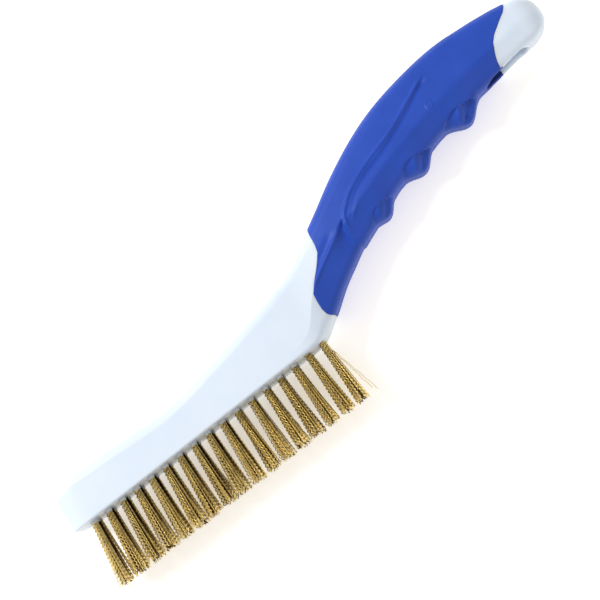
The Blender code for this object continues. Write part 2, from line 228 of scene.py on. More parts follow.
def station_rows():
    """The stations as rows of plain numbers, each led by its distance along the body."""
    rows, along, last = [], 0.0, None
    for top, low, half_width, kind in STATIONS:
        middle = (blend(top[0], low[0], 0.5), blend(top[1], low[1], 0.5))
        along = middle[0] if last is None else along + math.dist(middle, last)
        last = middle
        rows.append((along, *top, *low, half_width, kind))
    return np.array(rows)


ROWS_TABLE = station_rows()
FIRST_ALONG, LAST_ALONG = ROWS_TABLE[0, 0], ROWS_TABLE[-1, 0]


def station_slopes():
    ahead = np.vstack([ROWS_TABLE[1:], ROWS_TABLE[-1:]])
    behind = np.vstack([ROWS_TABLE[:1], ROWS_TABLE[:-1]])
    return (ahead - behind) / (ahead - behind)[:, :1]


SLOPES = station_slopes()


def body_values(along):
    """Top x and y, bottom x and y, half width and section kind at distances along the body."""
    along = np.clip(along, FIRST_ALONG, LAST_ALONG)
    i = np.clip(np.searchsorted(ROWS_TABLE[:, 0], along, side="right") - 1, 0, len(ROWS_TABLE) - 2)
    start, end = ROWS_TABLE[i], ROWS_TABLE[i + 1]
    span = (end - start)[..., :1]
    t = (along[..., None] - start[..., :1]) / span
    value = cubic(t, span, start, end, SLOPES[i], SLOPES[i + 1])
    return np.moveaxis(value[..., 1:], -1, 0)


def hump(along, centre, size, ahead, behind):
    """A smooth rise of a given size that fades out at its reach to either side."""
    reach = np.where(along < centre, ahead, behind)
    share = np.clip(np.abs(along - centre) / reach, 0, 1)
    return size * 0.5 * (1 + np.cos(np.pi * share))


def nub_height(along):
    """How far the finger nubs bring the grip's lower line down."""
    height = np.zeros_like(along)
    for nub in NUBS:
        height += hump(along, *nub)
    for dip in DIPS:
        height -= hump(along, *dip)
    return height


def ring_layout():
    """What each point of a section is: (corner, place in its arc) or (corner, place to the next)."""
    runs = RUN_STEPS + RUN_STEPS[::-1]
    layout = []
    for corner in range(CORNERS):
        layout += [("arc", corner, k / ARC_STEPS) for k in range(ARC_STEPS + 1)]
        steps = runs[corner]
        layout += [("run", corner, k / (steps + 1)) for k in range(1, steps + 1)]
    return layout


LAYOUT = ring_layout()


def corner_values(half_width, height, kind):
    """The corners of each section, round from the bottom centre, and their radii."""
    table = np.array(SECTIONS)
    kind = np.clip(kind, 0, len(SECTIONS) - 1)
    low = np.minimum(kind.astype(int), len(SECTIONS) - 2)
    share = (kind - low)[:, None, None]
    half = table[low] * (1 - share) + table[low + 1] * share
    mirrored = half[:, -2:0:-1] * np.array([-1.0, 1.0, 1.0])
    loop = np.concatenate([half, mirrored], axis=1)
    corners = loop[..., :2] * np.stack([half_width, height], axis=-1)[:, None, :]
    return corners, loop[..., 2]


def arc_point(corners, radii, i, t):
    """A point of the arc that rounds corner i."""
    corner = corners[:, i]
    to_before = corners[:, i - 1] - corner
    to_after = corners[:, (i + 1) % CORNERS] - corner
    long_before = np.linalg.norm(to_before, axis=1, keepdims=True)
    long_after = np.linalg.norm(to_after, axis=1, keepdims=True)
    to_before, to_after = to_before / long_before, to_after / long_after
    turn = np.clip((to_before * to_after).sum(1, keepdims=True), -1, 1)
    half = np.clip(np.arccos(turn) / 2, MIN_HALF_ANGLE, np.pi / 2 - 1e-6)
    room = MAX_ARC_SHARE * np.minimum(long_before, long_after)
    tangent = np.minimum(radii[:, i, None] / np.tan(half), room)
    a = (1 - t) ** 2
    b = 2 * t * (1 - t) * np.sin(half)
    c = t * t
    start, end = corner + to_before * tangent, corner + to_after * tangent
    return (start * a + corner * b + end * c) / (a + b + c)


def section_point(half_width, height, kind, index):
    """Point number index of each section, as z across and height above the bottom."""
    corners, radii = corner_values(half_width, height, kind)
    form, i, t = LAYOUT[index]
    if form == "arc":
        return arc_point(corners, radii, i, t)
    start = arc_point(corners, radii, i, 1.0)
    return start + (arc_point(corners, radii, (i + 1) % CORNERS, 0.0) - start) * t


def skin_grid(along):
    """The bare skin at each distance along, one column for each point round the section.

    Returns the points, and how far each stands above the grip's lower line, in mm and as a share of
    the section's height.
    """
    points = np.zeros((*along.shape, 3))
    above = np.zeros(along.shape)
    share = np.zeros(along.shape)
    for k in range(along.shape[1]):
        top_x, top_y, low_x, low_y, half_width, kind = body_values(along[:, k])
        up = np.stack([top_x - low_x, top_y - low_y], axis=-1)
        height = np.linalg.norm(up, axis=-1)
        up /= height[:, None]
        local = section_point(half_width, height, kind, k)
        low_part = 1 - smooth(local[:, 1] / height / NUB_TOP_SHARE)
        rise = local[:, 1] - nub_height(along[:, k]) * low_part
        points[:, k, 0] = low_x + up[:, 0] * rise
        points[:, k, 1] = low_y + up[:, 1] * rise
        points[:, k, 2] = local[:, 0]
        above[:, k], share[:, k] = rise, rise / height
    return points, above, share


def grid_normals(points):
    """Outward normals of a grid whose columns close round the section."""
    around = np.roll(points, -1, axis=1) - np.roll(points, 1, axis=1)
    onward = np.gradient(points, axis=0)
    normals = np.cross(around, onward)
    normals /= np.maximum(np.linalg.norm(normals, axis=-1, keepdims=True), TINY)
    outward = points - points.mean(axis=1, keepdims=True)
    if (normals * outward).sum() < 0:
        normals = -normals
    return normals


# ---- relief -----------------------------------------------------------------------------------

# Lines on the grip's side, as (distance along, share of the section's height).
BEAD_LINE = [(221.8, 0.74), (219.0, 0.715), (214.8, 0.675), (210.1, 0.63), (206.2, 0.6), (201.0, 0.57),
             (196.4, 0.55), (192.0, 0.545), (187.2, 0.55), (183.1, 0.56), (178.2, 0.57), (173.0, 0.575),
             (168.4, 0.57), (164.1, 0.535), (160.1, 0.48), (157.9, 0.39), (156.9, 0.27), (157.4, 0.15)]
GROOVE_LINE = [(221.6, 0.69), (216.2, 0.63), (211.4, 0.575), (205.6, 0.525), (197.8, 0.485),
               (191.6, 0.465), (186.3, 0.46), (181.4, 0.475), (177.4, 0.485), (173.4, 0.485),
               (169.2, 0.475), (165.4, 0.44), (161.8, 0.4)]
LEAF_LINE = [(171.5, 0.37), (167.0, 0.38), (164.3, 0.365), (161.0, 0.335), (158.2, 0.29)]
COLLAR_LINE = [(129.0, 0.44), (137.0, 0.445), (146.0, 0.445), (155.5, 0.455)]
VALLEY_LINE = [(133.0, 0.53), (140.0, 0.53), (147.0, 0.535), (153.0, 0.55)]

# Ribs and grooves along those lines: width, height, and the shares of the line where it fades.
RIBS = [
    (BEAD_LINE, 0.7, 0.6, 0.08, 0.10),
    (GROOVE_LINE, 0.75, -0.7, 0.06, 0.35),
    (LEAF_LINE, 0.7, 0.3, 0.4, 0.3),
    (COLLAR_LINE, 0.7, 0.55, 0.1, 0.1),
    (VALLEY_LINE, 1.7, -0.45, 0.3, 0.3),
]

# The collar's sharp step, as (share of the section's height, distance along). It is shallower
# towards the lower line and ends at a share of the height.
STEP_LINE = [(0.0, 155.8), (0.13, 154.6), (0.25, 154.4), (0.35, 155.3), (0.43, 157.0), (0.48, 158.6)]
STEP_DEPTH, STEP_EDGE, STEP_RUN, STEP_POWER = 1.5, 1.3, 12.0, 1.5
STEP_TOP, STEP_TOP_FADE = 0.5, 0.06
STEP_LOW, STEP_LOW_FADE, STEP_LOW_SHARE = 0.05, 0.3, 0.35

# Each finger nub's hollow: its arched edge as (distance along, mm above the lower line), where the
# ridge inside it meets the lower line, and how deep it is.
HOLLOWS = [
    ([(163.4, 0.6), (165.8, 3.1), (167.6, 3.7), (169.8, 3.7), (172.2, 3.0), (174.4, 1.8), (177.9, 0.7),
      (181.0, -0.2)], 168.8, 1.6),
    ([(185.2, -0.2), (187.2, 2.5), (188.4, 3.1), (190.6, 3.8), (193.4, 3.7), (196.0, 3.1), (198.7, 1.9),
      (201.2, 1.2), (205.2, 0.4), (208.1, -0.2)], 193.8, 2.0),
    ([(211.3, -0.4), (213.0, 1.1), (215.3, 2.1), (217.6, 2.7), (220.0, 2.9), (223.1, 2.6), (225.6, 1.9),
      (229.7, 0.6), (232.6, -0.2)], 222.9, 2.5),
]
HOLLOW_RIM, HOLLOW_FRONT, HOLLOW_BACK = 0.7, 2.2, 2.0
NO_HOLLOW = -5.0
RIDGE_SLANT, RIDGE_SHIFT, RIDGE_WIDTH, RIDGE_SHARE = 0.68, 0.6, 1.7, 0.2
FALL_SHIFT, FALL_RUN = 0.4, 5.5
AHEAD_OF_RIDGE = 0.4

# The round moulding mark: a ring with a dot in its middle.
GATE_MARK = (215.0, 0.37)
GATE_RADIUS, GATE_RING_WIDTH, GATE_RING_HEIGHT = 1.25, 0.28, 0.28
GATE_DOT_WIDTH, GATE_DOT_HEIGHT = 0.45, 0.35

PARTING_WIDTH, PARTING_HEIGHT = 0.16, 0.05

# How far the skin has to face sideways before the relief starts, and where it is at its full height.
SIDE_START, SIDE_RUN, HOLLOW_SIDE_RUN = 0.25, 0.4, 0.6

LINE_POINTS = 160
LINE_SCALE = 25


def along_line(line):
    """A smooth line through given points, as distance along and share of height."""
    line = np.array(line, float)
    steps = np.linalg.norm(np.diff(line * [1, LINE_SCALE], axis=0), axis=1)
    knots = np.concatenate([[0], np.cumsum(steps)])
    at = np.linspace(0, knots[-1], LINE_POINTS)
    slope = np.gradient(line, knots, axis=0)
    i = np.clip(np.searchsorted(knots, at, side="right") - 1, 0, len(knots) - 2)
    span = (knots[i + 1] - knots[i])[:, None]
    t = ((at - knots[i]) / span[:, 0])[:, None]
    return cubic(t, span, line[i], line[i + 1], slope[i], slope[i + 1])


def section_height(along):
    """The length of the section's middle line, from the bottom to the top."""
    top_x, top_y, low_x, low_y, _, _ = body_values(along)
    return np.hypot(top_x - low_x, top_y - low_y)


def distance_to_line(line, along, above):
    """Distance on the side's surface to a line, and how far along the line its nearest point is."""
    line = along_line(line)
    spots = np.stack([line[:, 0], line[:, 1] * section_height(line[:, 0])], axis=-1)
    a, b = spots[:-1], spots[1:]
    ab = b - a
    best = np.full(along.shape, 1e9)
    place_on = np.zeros(along.shape)
    for k in range(len(a)):
        dx, dy = along - a[k, 0], above - a[k, 1]
        t = np.clip((dx * ab[k, 0] + dy * ab[k, 1]) / (ab[k] @ ab[k]), 0, 1)
        distance = np.hypot(dx - t * ab[k, 0], dy - t * ab[k, 1])
        nearer = distance < best
        best = np.where(nearer, distance, best)
        place_on = np.where(nearer, (k + t) / len(a), place_on)
    return best, place_on


def rib_relief(along, above):
    """The raised bead, the groove below it, the fainter rib in front of them, and the collar's."""
    total = np.zeros_like(along)
    for line, width, height, fade_in, fade_out in RIBS:
        distance, where = distance_to_line(line, along, above)
        fade = smooth(where / fade_in) * smooth((1 - where) / fade_out)
        total += height * (np.exp(-((distance / width) ** 2)) * fade)
    return total


def step_relief(along, share):
    """The collar ahead of the grip's swell, let in below its edge with a sharp step."""
    shares, alongs = zip(*STEP_LINE)
    line = np.interp(share, shares, alongs)
    ahead = smooth((line - along) / STEP_EDGE)
    fade = (1 - smooth((line - along) / STEP_RUN)) ** STEP_POWER
    below = smooth((STEP_TOP - share) / STEP_TOP_FADE)
    low = blend(STEP_LOW_SHARE, 1.0, smooth((share - STEP_LOW) / STEP_LOW_FADE))
    return -STEP_DEPTH * ahead * fade * below * low


def hollow_relief(along, above):
    """Hollows beside the finger nubs: each under an arched edge, with a slanting ridge inside."""
    total = np.zeros_like(along)
    for arch, ridge_at, depth in HOLLOWS:
        alongs, heights = zip(*arch)
        edge = np.interp(along, alongs, heights, left=NO_HOLLOW, right=NO_HOLLOW)
        under = smooth((edge - above) / HOLLOW_RIM)
        past_ridge = along - ridge_at - RIDGE_SLANT * above
        behind = smooth((past_ridge + FALL_SHIFT) / FALL_RUN)
        ridge = np.exp(-(((past_ridge + RIDGE_SHIFT) / RIDGE_WIDTH) ** 2))
        ends = smooth((along - alongs[0]) / HOLLOW_FRONT) * smooth((alongs[-1] - along) / HOLLOW_BACK)
        total -= depth * (blend(AHEAD_OF_RIDGE, 1.0, behind) - RIDGE_SHARE * ridge) * under * ends
    return total


def gate_relief(along, above):
    """The moulding mark's ring and dot."""
    centre_above = GATE_MARK[1] * section_height(np.array([GATE_MARK[0]]))[0]
    distance = np.hypot(along - GATE_MARK[0], above - centre_above)
    ring = GATE_RING_HEIGHT * np.exp(-(((distance - GATE_RADIUS) / GATE_RING_WIDTH) ** 2))
    return ring + GATE_DOT_HEIGHT * np.exp(-((distance / GATE_DOT_WIDTH) ** 2))


def grip_relief(along, above, share, normals):
    """All of the grip's relief, as a height above the plain skin."""
    facing = np.abs(normals[..., 2])
    side = smooth((facing - SIDE_START) / SIDE_RUN)
    height = rib_relief(along, above) * side
    height += step_relief(along, share)
    height += hollow_relief(along, above) * smooth(facing / HOLLOW_SIDE_RUN)
    return height + gate_relief(along, above) * side


def parting_relief(points):
    """The faint line where the mould's halves meet."""
    return PARTING_HEIGHT * np.exp(-((points[..., 2] / PARTING_WIDTH) ** 2))


# ---- rings and lofts --------------------------------------------------------------------------


def cap_rings(along, shares, middle, length, powers):
    """Rings of a rounded end: the section at that station, drawn in towards the end's tip."""
    top_x, top_y, low_x, low_y, half_width, kind = (float(v[0]) for v in body_values(np.array([along])))
    up = np.array([top_x - low_x, top_y - low_y])
    reach = np.linalg.norm(up)
    up /= reach
    onward = np.array([up[1], -up[0]])
    top_power, low_power, plan_power = powers
    rings = []
    for share in shares:
        part = abs(share)
        above = (reach - middle) * (1 - part**top_power) ** (1 / top_power)
        below = middle * (1 - part**low_power) ** (1 / low_power)
        width = half_width * (1 - part**plan_power) ** (1 / plan_power)
        sizes = np.array([width]), np.array([above + below]), np.array([kind])
        local = np.array([section_point(*sizes, k)[0] for k in range(len(LAYOUT))])
        base = np.array([low_x, low_y]) + up * (middle - below) + onward * length * share
        flat = base + up * local[:, 1:]
        rings.append(np.column_stack([flat, local[:, 0]]))
    return np.array(rings)


def cap_shares():
    """How far towards the tip a cap's rings stand."""
    inner = [math.sin(math.pi / 2 * k / CAP_STEPS) for k in range(1, CAP_STEPS)]
    return inner + CAP_LAST_SHARES


def edge_curve(curve, sample):
    """An end of the sleeve, as the distance along at each point round the section there."""
    _, _, share = skin_grid(np.full((1, len(LAYOUT)), sample))
    shares, alongs = zip(*curve)
    fine = np.linspace(0, 1, EDGE_SAMPLES)
    kernel = np.hanning(EDGE_SMOOTHING) / np.hanning(EDGE_SMOOTHING).sum()
    padded = np.pad(np.interp(fine, shares, alongs), EDGE_SMOOTHING // 2, mode="edge")
    value = np.convolve(padded, kernel, mode="valid")
    return np.interp(np.clip(share[0], 0, 1), fine, value)


def rings_from(start, end, step):
    """A grid of distances along that runs from one end curve to the other."""
    count = max(2, math.ceil((np.max(end) - np.min(start)) / step))
    t = np.linspace(0, 1, count + 1)[:, None]
    return start + (end - start) * t


def mesh_object(name, points, faces, material=None):
    """A mesh of points in mm, welded, with its normals outward and its edges sharp past an angle."""
    mesh = bpy.data.meshes.new(name)
    mesh.from_pydata(place(points).tolist(), [], faces)
    mesh.update()
    made = bpy.data.objects.new(name, mesh)
    bpy.context.scene.collection.objects.link(made)
    work = bmesh.new()
    work.from_mesh(mesh)
    bmesh.ops.remove_doubles(work, verts=work.verts, dist=MERGE_DISTANCE)
    bmesh.ops.recalc_face_normals(work, faces=work.faces)
    work.to_mesh(mesh)
    work.free()
    if material:
        mesh.materials.append(material)
    mesh.shade_smooth()
    mesh.set_sharp_from_angle(angle=math.radians(SHARP_DEG))
    return made


def loft(name, rings, material=None, closed=False):
    """Joins rings of points into one closed body, capped at both ends unless it closes."""
    rings = np.asarray(rings)
    count, size = rings.shape[:2]
    faces = []
    for a in range(count if closed else count - 1):
        b = (a + 1) % count
        for i in range(size):
            j = (i + 1) % size
            faces.append((a * size + i, b * size + i, b * size + j, a * size + j))
    if not closed:
        faces.append(tuple(range(size)))
        faces.append(tuple(reversed(range((count - 1) * size, count * size))))
    return mesh_object(name, rings.reshape(-1, 3), faces, material)


def shell(along, inset, relief=False):
    """A grid of the skin, moved in along its normals, with the grip's relief if asked."""
    points, above, share = skin_grid(along)
    normals = grid_normals(points)
    lift = -np.broadcast_to(np.asarray(inset, float), along.shape)
    if relief:
        lift = lift + grip_relief(along, above, share, normals)
    return points + normals * (lift + parting_relief(points))[..., None]


def sleeve_ends():
    return edge_curve(FRONT_EDGE, FRONT_SAMPLE), edge_curve(BACK_EDGE, BACK_SAMPLE)


def tail_cap():
    middle = float(section_height(np.array([LAST_ALONG]))[0]) / 2
    return cap_rings(LAST_ALONG, cap_shares(), middle, TAIL_LENGTH, TAIL_POWERS)


def core_rings():
    """The core's skin from the nose to the tail, let in under the sleeve."""
    front, back = sleeve_ends()
    size = len(LAYOUT)
    nose_shares = [-s for s in reversed(cap_shares())]
    nose = cap_rings(FIRST_ALONG, nose_shares, NOSE_HEIGHT, NOSE_LENGTH, NOSE_POWERS)
    start, end = front - EDGE_GAP, back + EDGE_GAP
    ahead = shell(rings_from(np.full(size, FIRST_ALONG), start, HEAD_STEP), 0.0)
    inner = rings_from(start + EDGE_STEP_IN, end - EDGE_STEP_IN, INNER_STEP)
    under = shell(inner, SLEEVE_WALL, relief=True)
    behind = shell(rings_from(end, np.full(size, LAST_ALONG), TAIL_STEP), 0.0)
    return np.concatenate([nose, ahead, under, behind, tail_cap()])


def grip_rings():
    """The sleeve's outer skin, with its rolled edges, and its inner skin."""
    front, back = sleeve_ends()
    along = rings_from(front, back, SLEEVE_STEP)
    from_edge = np.minimum(along - front, back - along)
    proud = SLEEVE_PROUD * np.sqrt(smooth(from_edge / EDGE_ROLL)) - EDGE_GAP * (from_edge < AT_EDGE)
    outer = shell(along, -proud, relief=True)
    inner = shell(rings_from(front, back, INNER_STEP), SLEEVE_WALL - GAP, relief=True)
    return np.concatenate([outer, inner[::-1]])


# ---- booleans ---------------------------------------------------------------------------------


def combine(target, other, operation):
    """Applies a Boolean and removes the other object."""
    boolean = target.modifiers.new(operation.lower(), "BOOLEAN")
    boolean.object = other
    boolean.operation = operation
    boolean.solver = "EXACT"
    graph = bpy.context.evaluated_depsgraph_get()
    mesh = bpy.data.meshes.new_from_object(target.evaluated_get(graph), depsgraph=graph)
    target.modifiers.clear()
    old = target.data
    target.data = mesh
    bpy.data.meshes.remove(old)
    bpy.data.objects.remove(other, do_unlink=True)
    return target


def slot_axes():
    """The slot's length, its middle, the way along it and the way through it."""
    start, end = np.array(SLOT_START), np.array(SLOT_END)
    length = np.linalg.norm(end - start)
    onward = (end - start) / length
    return length, (start + end) / 2, onward, np.array([-onward[1], onward[0]])


def slot_rings(widen, surface=None):
    """The hang slot as rings through the tail; with a surface given, its mouths have rounded lips."""
    length, middle, onward, through = slot_axes()
    half = (length - SLOT_WIDTH) / 2
    angles = np.linspace(0, 2 * np.pi, SLOT_POINTS, endpoint=False)
    cosines = np.cos(angles)

    def outline(offset, reach):
        radius = SLOT_WIDTH / 2 + widen + offset
        straight = np.sign(cosines) * half * np.minimum(1, np.abs(cosines) * SLOT_TURN)
        run = radius * cosines + straight
        flat = middle + onward * run[:, None] + through * np.asarray(reach)[:, None]
        return np.column_stack([flat, radius * np.sin(angles)])

    full = np.ones(SLOT_POINTS)
    if surface is None:
        return np.array([outline(0, reach * full) for reach in SLOT_REACHES])
    rings = []
    onset = smooth((cosines + LIP_ON) / LIP_ON_RUN) * (1 - smooth((cosines - LIP_OFF) / LIP_OFF_RUN))
    lower_lip = blend(FRONT_LIP_RADIUS, MIDDLE_LIP_RADIUS, onset)
    for sign, lip in ((-1, lower_lip), (1, UPPER_LIP_RADIUS * full)):
        rim = cast_reach(outline(lip * LIP_CAST, 0 * full), surface, sign)
        mouth = [outline(lip * LIP_FLARE + MOUTH_WIDER, rim + sign * MOUTH_OUT)]
        for turn in np.radians(np.linspace(LIP_START_DEG, 0, LIP_STEPS)):
            reach = rim - sign * lip * (LIP_RISE - math.sin(turn))
            mouth.append(outline(lip * (1 - math.cos(turn)), reach))
        rings += mouth if sign < 0 else mouth[::-1]
    return np.array(rings)


def cast_reach(points, surface, sign):
    """Distances from points inside the tail to its surface, along the slot."""
    _, _, _, through = slot_axes()
    ray = Vector((*through, 0.0)) * sign
    inside = Vector((*through, 0.0)) * INSIDE_TAIL * MM
    found = []
    for point in place(points):
        origin = Vector(point) + inside
        hit, _, _, far = surface.ray_cast(origin, ray)
        found.append(INSIDE_TAIL + sign * (far / MM if hit is not None else MISSED_REACH))
    return np.array(found)


def tree_of(made):
    graph = bpy.context.evaluated_depsgraph_get()
    return BVHTree.FromObject(made, graph)


def half_space(limit_x):
    """A box that holds everything ahead of a plane across the tail."""
    work = bmesh.new()
    bmesh.ops.create_cube(work, size=LIMIT_SIZE)
    centre = np.array([limit_x - LIMIT_SIZE / 2, SLOT_START[1], 0.0])
    points = [np.array(v.co) + centre for v in work.verts]
    faces = [tuple(v.index for v in f.verts) for f in work.faces]
    work.free()
    return mesh_object("limit", points, faces)


def plain_skin():
    """The tail as one solid without relief, which bounds the slot's lining."""
    size = len(LAYOUT)
    along = rings_from(np.full(size, PLAIN_FROM), np.full(size, LAST_ALONG), PLAIN_STEP)
    rings = shell(along, -SLEEVE_PROUD * 0.5)
    return loft("skin", np.concatenate([rings, tail_cap()]))


def cut_slot(core, grip):
    """Cuts the hang slot with rounded lips, and lines its front part with the grip's rubber."""
    skin = plain_skin()
    surface = tree_of(skin)
    lining = combine(loft("lining", slot_rings(SLOT_LINING)), skin, "INTERSECT")
    combine(lining, half_space(LINING_END_X), "INTERSECT")
    pocket = loft("pocket", slot_rings(SLOT_LINING + POCKET_GAP))
    combine(pocket, half_space(LINING_END_X + POCKET_GAP), "INTERSECT")
    combine(core, pocket, "DIFFERENCE")
    combine(grip, lining, "UNION")
    for piece in (core, grip):
        combine(piece, loft("slot", slot_rings(0.0, surface)), "DIFFERENCE")


def paint_slot_shade(grip, material):
    """The slot's walls are a darker blue than the sleeve's outside: painted shade for the shadow inside
    the slot.
    """
    grip.data.materials.append(material)
    _, middle, onward, _ = slot_axes()
    for face in grip.data.polygons:
        spot = np.array(face.center) / MM - np.array(ORIGIN)
        run = float((spot[:2] - middle) @ onward)
        across = abs(face.normal[0] * onward[1] - face.normal[1] * onward[0])
        in_slot = run > LINED_FROM and abs(spot[2]) < SLOT_WIDTH / 2 + LINED_ASIDE
        if in_slot and across < ACROSS_LIMIT and face.normal[2] * spot[2] < INWARD_LIMIT:
            face.material_index = 1


# ---- holes and tufts --------------------------------------------------------------------------

WIRE_RADIUS = 0.17
WIRE_SIDES = 4
CRIMP_LENGTH = 1.6
CRIMP_HEIGHT = 0.28
POINTS_PER_CRIMP = 6
WIRE_SHARP_DEG = 60
SEED = 7

# How much longer than the tuft a wire is and how unevenly it ends; how the tips spread and drift.
EXTRA_LENGTH, RAGGED = 0.3, 1.5
FLARE_RADIUS, SIDE_FLARE_RADIUS, FLARE_POWER = 2.85, 2.0, 1.3
DRIFT, DRIFT_POWER = 0.2, 1.8

# The crimps: how far each file is shifted against the next, how often the shift folds back in the
# middle, which way the wave leans in the outer files, its third harmonic and where it starts.
CHEVRON_DEG = 62.0
FOLDED_SHARE, FOLDED_FILE = 0.4, 1
CRIMP_LEAN, CRIMP_LEAN_INSIDE, LEAN_FILES = 0.12, 1.2, 3
CRIMP_JITTER = 0.12
CRIMP_HARMONIC = 0.1
CRIMP_START, CRIMP_START_SHARE = 1.2, 0.4

# The fold in the hole: how far above its bottom the wires meet and how close together.
FOLD_ABOVE, FOLD_ACROSS, FOLD_UP = 2.6, 0.3, 0.9
IN_MOUTH = 1.0

# Random lean and splay of each tuft, and the spread of its wires' tones.
LEAN_JITTER_DEG, SPLAY_JITTER_DEG = 0.8, 0.6
TONE_DARKER, TONE_LIGHTER = -0.05, 0.1
STRAY_TONE, ANCHOR_TONE = 0.7, 0.5

# Painted shade on the middle row, which the front row shades: how much darker its wires are at their
# holes than at their tips.
MIDDLE_ROW, MIDDLE_ROW_PAINTED_SHADE = 1, 0.95

# A tuft's wires stand in files across it: the front and back wire of each file, the one behind
# each of them, and loose ones inside.
FILES_ACROSS = [-0.92, -0.47, 0.0, 0.47, 0.92]
# The inner layer and the loose wires inside are darker: tarnish within the tuft and painted shade in
# the gaps between wires.
LAYERS = [(1.0, 0.95), (0.62, 0.6)]
FILE_JITTER, FILE_OUT = 0.03, 0.06
INNER_WIRES, INNER_TONE, INNER_FILE = 7, 0.05, 2
INNER_ACROSS, INNER_UP = 0.75, 0.4

# Wires that have worked loose: row, column, how far out of line at the tip towards the tail and
# to the side, and how much longer than the tuft.
STRAYS = [
    (2, 16, 7.4, 0.5, 0.6), (2, 16, 6.2, 0.9, -1.0), (2, 0, 0.9, 0.4, 3.6), (2, 5, 3.0, 0.8, -1.2),
    (2, 8, -2.6, 0.7, -2.0), (2, 11, 3.2, 0.6, -0.8), (2, 14, 2.8, 1.0, 0.3), (2, 3, 2.9, 0.9, -0.4),
    (0, 6, -3.0, -1.2, -0.6), (0, 12, 2.8, -1.0, 0.2), (1, 9, 2.6, 0.4, 0.5),
]
STRAY_POINTS, STRAY_THINNER = 30, 0.75
STRAY_OUT, STRAY_ASIDE = 0.8, 0.5
STRAY_FOLD_OUT, STRAY_FOLD_ASIDE = 0.5, 0.3
STRAY_WAVE, STRAY_WAVE_RATE = 0.12, 1.1


def tuft_places():
    """Each tuft's row, column, x, z, lean towards the nose and splay to the side."""
    for row in range(ROWS):
        side = row - (ROWS - 1) / 2
        for column in range(COLUMNS):
            lean = math.radians(blend(LEAN_FRONT_DEG, LEAN_REAR_DEG, column / (COLUMNS - 1)))
            x = FIRST_TUFT_X + column * TUFT_PITCH
            yield row, column, x, side * ROW_SPACING, lean, math.radians(side * SPLAY_DEG)


def cut_holes(core):
    """One cutter with every blind hole, each with a small chamfer at its mouth."""
    sides, mouth = HOLE_SIDES, HOLE_RADIUS + HOLE_CHAMFER
    angles = np.linspace(0, 2 * np.pi, sides, endpoint=False)
    profile = [(-ABOVE_FACE, mouth), (-AT_FACE, mouth), (HOLE_CHAMFER, HOLE_RADIUS),
               (HOLE_DEPTH, HOLE_RADIUS)]
    points, faces = [], []
    for _, _, x, z, _, _ in tuft_places():
        first = len(points)
        for y, radius in profile:
            points += [(x + radius * math.cos(a), y, z + radius * math.sin(a)) for a in angles]
        for level in range(len(profile) - 1):
            for i in range(sides):
                j = (i + 1) % sides
                a, b = first + level * sides, first + (level + 1) * sides
                faces.append((a + i, b + i, b + j, a + j))
        faces.append(tuple(range(first, first + sides)))
        last = first + (len(profile) - 1) * sides
        faces.append(tuple(reversed(range(last, last + sides))))
    combine(core, mesh_object("holes", points, faces), "DIFFERENCE")


def wire_spots(rng):
    """Where each wire of a tuft stands in a unit circle, with its file and its tone; the inner wires'
    tones carry tarnish and painted shade.
    """
    spots = []
    for file, across in enumerate(FILES_ACROSS):
        edge = math.sqrt(max(0.0, 1 - across * across))
        for depth, tone_and_shade in LAYERS:
            for side in (-1, 1):
                up = side * (edge * depth + FILE_OUT)
                spots.append((across + rng.normal(0, FILE_JITTER), up, file, tone_and_shade))
    for _ in range(INNER_WIRES):
        across = rng.uniform(-INNER_ACROSS, INNER_ACROSS)
        spots.append((across, rng.uniform(-INNER_UP, INNER_UP), INNER_FILE, INNER_TONE))
    return spots


def wire_path(rng, tuft, spot, phase, bend):
    """One wire from its fold in the hole, out of the mouth and along its crimps to the tip."""
    x, z, lean, splay = tuft
    across, up = spot
    length = FREE_LENGTH + EXTRA_LENGTH - abs(rng.normal(0, RAGGED))
    t = np.arange(0.0, length, CRIMP_LENGTH / POINTS_PER_CRIMP)
    share = t / FREE_LENGTH
    root = ROOT_RADIUS - WIRE_RADIUS
    spread = root + (FLARE_RADIUS - WIRE_RADIUS - root) * share**FLARE_POWER
    side_spread = root + (SIDE_FLARE_RADIUS - WIRE_RADIUS - root) * share**FLARE_POWER
    drift = rng.normal(0, DRIFT, 2) * share[:, None] ** DRIFT_POWER
    cycle = 2 * np.pi * t / CRIMP_LENGTH + phase
    onset = smooth(t / CRIMP_START + CRIMP_START_SHARE)
    wave = CRIMP_HEIGHT * (np.sin(cycle) - CRIMP_HARMONIC * np.sin(3 * cycle)) * onset
    px = x - t * math.tan(lean) + spread * across + drift[:, 0] + wave * math.cos(bend)
    pz = z + t * math.tan(splay) + side_spread * up + drift[:, 1] + wave * math.sin(bend)
    deep = [(x + FOLD_ACROSS * root * across, HOLE_DEPTH - FOLD_ABOVE, z + FOLD_UP * root * up),
            (x + root * across, IN_MOUTH, z + root * up)]
    return np.vstack([deep, np.column_stack([px, -t, pz])])


def stray_path(tuft, out, aside, longer):
    """A straightened wire that stands away from its tuft."""
    x, z, lean, splay = tuft
    t = np.linspace(0.0, FREE_LENGTH + longer, STRAY_POINTS)
    share = t / FREE_LENGTH
    side = 1.0 if out > 0 else -1.0
    from_mouth = side * STRAY_OUT
    wave = STRAY_WAVE * np.sin(t * STRAY_WAVE_RATE)
    px = x + from_mouth - t * math.tan(lean) + (out - from_mouth) * share + wave
    pz = z + STRAY_ASIDE + t * math.tan(splay) + aside * share
    deep = [(x + side * STRAY_FOLD_OUT, HOLE_DEPTH - FOLD_ABOVE, z + STRAY_FOLD_ASIDE),
            (x + from_mouth, IN_MOUTH, z + STRAY_ASIDE)]
    return np.vstack([deep, np.column_stack([px, -t, pz])])


